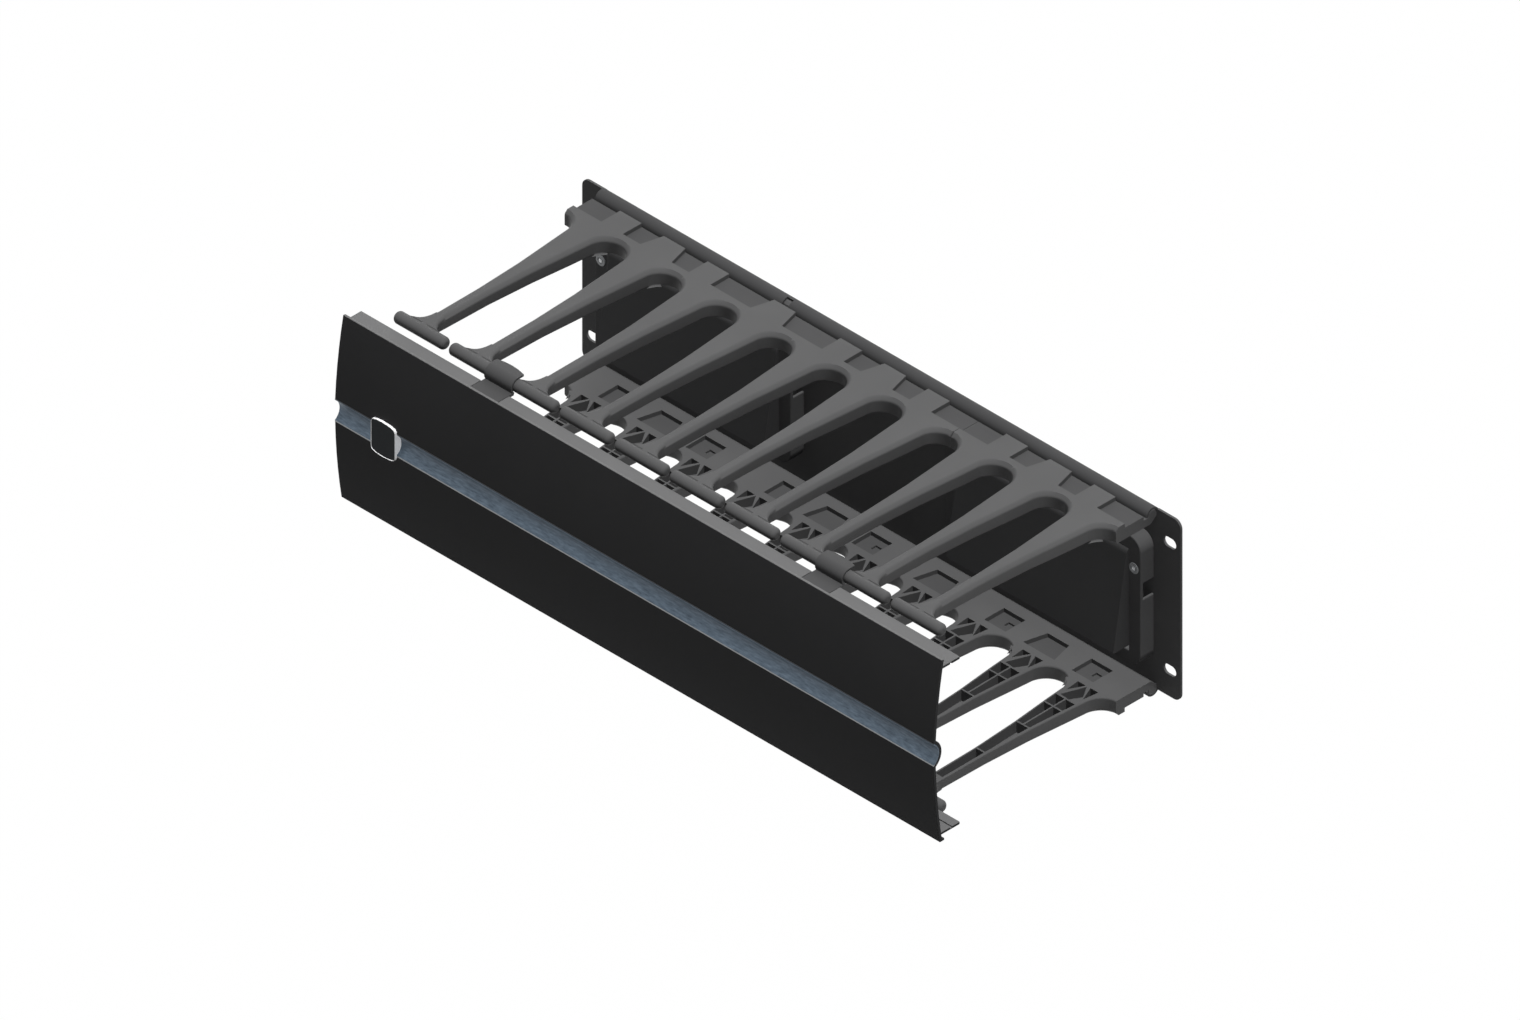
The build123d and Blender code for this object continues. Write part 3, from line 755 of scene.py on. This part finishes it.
# Badge place
def corner_edge(edge, first, second):
    """Whether an edge runs straight to the front at an outer or inner corner."""
    run = (edge.verts[1].co - edge.verts[0].co).normalized()
    return abs(run.y) > 0.99 and edge.calc_face_angle(0) > math.radians(50)


def make_badge_plate(name, outward, front, rear, corner):
    """Plate with the outline of the badge's face, moved outward, between two places along Y."""
    plate = copy_of_node("badge_face", name)
    for vert in plate.data.vertices:
        vert.co.x += math.copysign(outward * MM, vert.co.x - BADGE_X * MM)
        vert.co.z += math.copysign(outward * MM, vert.co.z)
        vert.co.y = (front if vert.co.y / MM < BADGE_MIDDLE else rear) * MM
    bevel_edges(plate, corner_edge, corner, 5)
    return plate


def sink_front(plate, width, depth):
    """Leaves a raised rim of a width round the plate's front."""
    start_edit_at_front(plate)
    bpy.ops.mesh.dissolve_faces()
    bpy.ops.mesh.inset(thickness=width * MM)
    bpy.ops.mesh.extrude_region_move(TRANSFORM_OT_translate={"value": (0, depth * MM, 0)})
    end_edit()


def add_badge_foot(rim):
    """Block behind the rim that stands in the cover's groove."""
    bpy.ops.object.select_all(action="DESELECT")
    bpy.ops.mesh.primitive_cube_add(size=1)
    foot = bpy.context.object
    foot.data.transform(Matrix.Diagonal((FOOT_WIDTH * MM, FOOT_DEPTH * MM, FOOT_HEIGHT * MM, 1)))
    foot.data.transform(Matrix.Translation(Vector((BADGE_X, FOOT_FRONT + FOOT_DEPTH / 2, 0)) * MM))
    bevel_edges(foot, sharp(60), FOOT_ROUND, 3)
    select_only(rim)
    foot.select_set(True)
    bpy.ops.object.join()


def on_badge_front(face, middle):
    return face.normal.y < -0.9 and middle.y < BADGE_MIDDLE


rim = make_badge_plate("badge_rim_finished", RIM_OUTWARD, BADGE_FRONT, BADGE_REAR, BADGE_CORNER)
sink_front(rim, RIM_WIDTH, BADGE_SUNK)
bevel_edges(rim, sharp(60), RIM_ROUND, 2)
add_badge_foot(rim)
finish_piece(rim, rim_metal, "badge_metal", "cover_body", "badge_rim")
# painted shade: the rim's faces that look to the front get the darker copy of its metal
add_finish(rim, rim_front_shade_metal, on_badge_front)
face_plate = make_badge_plate(
    "badge_face_finished", FACE_OUTWARD - RIM_WIDTH, BADGE_FRONT + FACE_SUNK,
    BADGE_FRONT + BADGE_SUNK, BADGE_CORNER - RIM_WIDTH,
)
bevel_edges(face_plate, sharp(60), FACE_ROUND, 2)
finish_piece(face_plate, badge_gloss, "badge_plastic", "cover_body", "badge_face")


# Rivets that clamp the frames: a domed flange, a sunken ring and the stub of the pin
def make_rivet(place):
    """Rivet along Y with its head to the front; place is the middle of the head's seat."""
    bpy.ops.object.select_all(action="DESELECT")
    bpy.ops.mesh.primitive_cylinder_add(
        vertices=40, radius=RIVET_SHANK * MM, depth=RIVET_LENGTH * MM,
        location=Vector((place.x, place.y + RIVET_LENGTH / 2, place.z)) * MM,
        rotation=(math.pi / 2, 0, 0),
    )
    rivet = bpy.context.object
    bpy.ops.object.transform_apply(location=True, rotation=True, scale=False)
    start_edit_at_front(rivet)
    for step, factor in RIVET_STEPS:
        bpy.ops.mesh.extrude_region_move(TRANSFORM_OT_translate={"value": (0, -step * MM, 0)})
        bpy.ops.transform.resize(value=(factor, 1, factor))
    end_edit()
    return rivet


for node in ("frame_eyelet_left", "frame_eyelet_right"):
    low, high = (Vector(corner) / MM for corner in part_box(node))
    seat = Vector(((low.x + high.x) / 2, -RIVET_LENGTH, (low.z + high.z) / 2))

    def beyond_stub(face, middle):
        return math.hypot(middle.x - seat.x, middle.z - seat.z) > RIVET_STUB

    rivet = make_rivet(seat)
    rivet.name = node.replace("eyelet", "rivet")
    finish_piece(rivet, bright_metal, "eyelet_steel", "frame", node)
    # painted shade: the head round the stub gets a darker metal for the shade in its sunken ring, which
    # darkens the flange as well
    add_finish(rivet, shaded_ring_metal, beyond_stub)

# CAD nodes whose shapes are right keep them and get a better material
for node, material in (
    ("accent_strip", strip_metal),
    ("door_pin_left", pin_metal),
    ("door_pin_right", pin_metal),
):
    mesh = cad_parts[node].data
    mesh.materials.clear()
    mesh.materials.append(material)


# Studio: pale floor, even light from above and right, a weak one from behind
def seen_rays(nodes, links):
    """Rays for which the surroundings are white: camera, glossy and transmission rays."""
    rays = nodes.new("ShaderNodeLightPath")
    seen = rays.outputs["Is Camera Ray"]
    for name in ("Is Glossy Ray", "Is Transmission Ray"):
        joined = nodes.new("ShaderNodeMath")
        joined.operation = "MAXIMUM"
        links.new(seen, joined.inputs[0])
        links.new(rays.outputs[name], joined.inputs[1])
        seen = joined.outputs["Value"]
    return seen


def make_floor():
    bpy.ops.object.select_all(action="DESELECT")
    bpy.ops.mesh.primitive_plane_add(size=14, location=(0, 0, FLOOR_Z))
    floor = bpy.context.object
    floor.name = "studio_floor"
    bpy.ops.object.mode_set(mode="EDIT")
    bpy.ops.mesh.subdivide(number_cuts=6)
    bpy.ops.object.mode_set(mode="OBJECT")
    bpy.ops.object.transform_apply(location=True, rotation=False, scale=False)
    material, nodes, links, shader = new_material("floor_paper")
    shader.inputs["Base Color"].default_value = (0.20, 0.20, 0.20, 1)
    shader.inputs["Roughness"].default_value = 0.9
    shader.inputs["Specular IOR Level"].default_value = 0.0
    white = nodes.new("ShaderNodeEmission")
    white.inputs["Color"].default_value = (1, 1, 1, 1)
    white.inputs["Strength"].default_value = 1.06
    # nearly white where it is seen, and a little of the paper, which keeps the shadow
    share = nodes.new("ShaderNodeMath")
    share.operation = "MULTIPLY"
    share.inputs[1].default_value = 0.92
    links.new(seen_rays(nodes, links), share.inputs[0])
    mixed = nodes.new("ShaderNodeMixShader")
    links.new(share.outputs["Value"], mixed.inputs["Fac"])
    links.new(shader.outputs["BSDF"], mixed.inputs[1])
    links.new(white.outputs["Emission"], mixed.inputs[2])
    # clear from below, so that it doesn't hide the object
    side = nodes.new("ShaderNodeNewGeometry")
    clear = nodes.new("ShaderNodeBsdfTransparent")
    two_sided = nodes.new("ShaderNodeMixShader")
    links.new(side.outputs["Backfacing"], two_sided.inputs["Fac"])
    links.new(mixed.outputs["Shader"], two_sided.inputs[1])
    links.new(clear.outputs["BSDF"], two_sided.inputs[2])
    links.new(two_sided.outputs["Shader"], nodes["Material Output"].inputs["Surface"])
    floor.data.materials.append(material)


def make_world():
    world = bpy.data.worlds.new("studio")
    bpy.context.scene.world = world
    world.use_nodes = True
    nodes, links = world.node_tree.nodes, world.node_tree.links
    background = nodes["Background"]
    background.inputs["Color"].default_value = (0.12, 0.12, 0.12, 1)
    white = nodes.new("ShaderNodeBackground")
    white.inputs["Color"].default_value = (1, 1, 1, 1)
    mixed = nodes.new("ShaderNodeMixShader")
    links.new(seen_rays(nodes, links), mixed.inputs["Fac"])
    links.new(background.outputs["Background"], mixed.inputs[1])
    links.new(white.outputs["Background"], mixed.inputs[2])
    links.new(mixed.outputs["Shader"], nodes["World Output"].inputs["Surface"])


def add_softbox(name, place, size, power):
    """Square lamp that looks at the middle of the guides."""
    bpy.ops.object.light_add(type="AREA", location=place)
    lamp = bpy.context.object
    lamp.name = name
    lamp.data.shape = "SQUARE"
    lamp.data.size = size
    lamp.data.energy = power
    direction = Vector((0, -0.08, 0)) - Vector(place)
    lamp.rotation_euler = direction.to_track_quat("-Z", "Y").to_euler()


def add_even_light(name, source, strength):
    """Parallel light without shadows, so that the lower guides are lit like the upper ones."""
    bpy.ops.object.light_add(type="SUN", location=Vector(source) * 2)
    lamp = bpy.context.object
    lamp.name = name
    lamp.data.energy = strength
    lamp.data.angle = math.radians(20)
    lamp.data.use_shadow = False
    lamp.visible_glossy = False
    lamp.rotation_euler = (-Vector(source)).to_track_quat("-Z", "Y").to_euler()


make_floor()
make_world()
add_softbox("top_softbox", (-0.2, 0.2, 1.5), 1.5, 1.4)
add_even_light("even_light", (0.25, -0.02, 0.96), 4.2)
add_even_light("rear_light", (-0.60, 0.75, 0.15), 0.8)

bpy.context.scene.view_settings.view_transform = "Standard"
